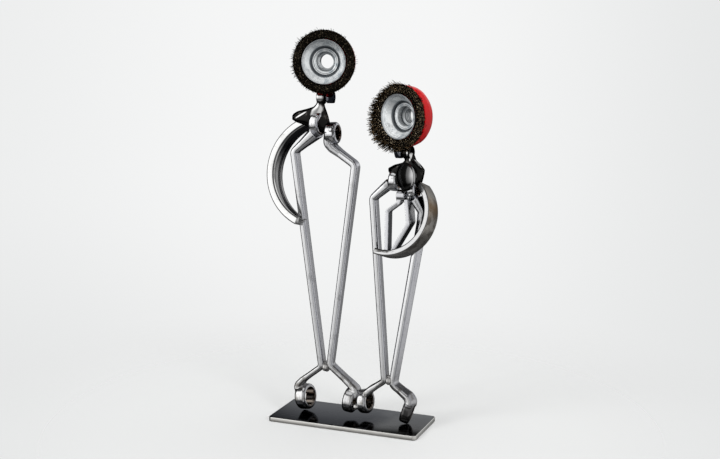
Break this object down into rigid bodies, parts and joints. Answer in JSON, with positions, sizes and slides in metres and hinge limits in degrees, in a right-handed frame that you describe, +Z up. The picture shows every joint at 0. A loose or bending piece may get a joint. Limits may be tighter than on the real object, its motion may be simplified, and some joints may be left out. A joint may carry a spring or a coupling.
{
  "type": "scrap metal figure sculpture",
  "caption": "Two abstract standing figures welded from ring spanners, bearing races and wire cup brushes on a flat steel base plate.",
  "frame": {"origin": "centre of the base plate's underside", "axes": "+Z up, -Y the figures' front, +X from the tall figure to the small one"},
  "size_m": [0.1882, 0.07, 0.4211],
  "materials": {
    "plate_steel": "dark polished steel plate with bright ground edges",
    "ground_steel": "ground and polished forged steel",
    "race_steel": "hardened bearing steel, polished lands and a dark groove",
    "dark_forging": "near-black polished forging",
    "dark_nut": "blued steel",
    "red_paint": "glossy red paint",
    "wire": "dark crimped brush wire with a little rust",
    "zinc": "bright zinc plate",
    "weld_metal": "dressed weld bead"
  },
  "bodies": {
    "root": {"base_plate": "plate_steel", "tall_left_spanner": "ground_steel", "tall_right_spanner": "ground_steel", "small_left_spanner": "ground_steel", "small_right_spanner": "ground_steel", "tall_arm_race": "race_steel", "small_arm_race": "race_steel", "tall_shoulder_yoke": "dark_forging", "small_shoulder_yoke": "dark_forging", "small_chest_button": "dark_forging", "tall_neck_screw": "dark_nut", "tall_neck_nut": "dark_nut", "small_neck_screw": "dark_nut", "small_neck_nut": "dark_nut", "tall_head_cup": "red_paint", "small_head_cup": "red_paint", "tall_head_wires": "wire", "small_head_wires": "wire", "tall_head_inner_cup": "zinc", "small_head_inner_cup": "zinc", "tall_head_arbor_nut": "zinc", "small_head_arbor_nut": "zinc", "small_inner_left_bar": "ground_steel", "small_inner_right_bar": "ground_steel", "tall_ankle_weld": "weld_metal", "small_ankle_weld": "weld_metal", "feet_weld": "weld_metal"}
  },
  "joints": []
}
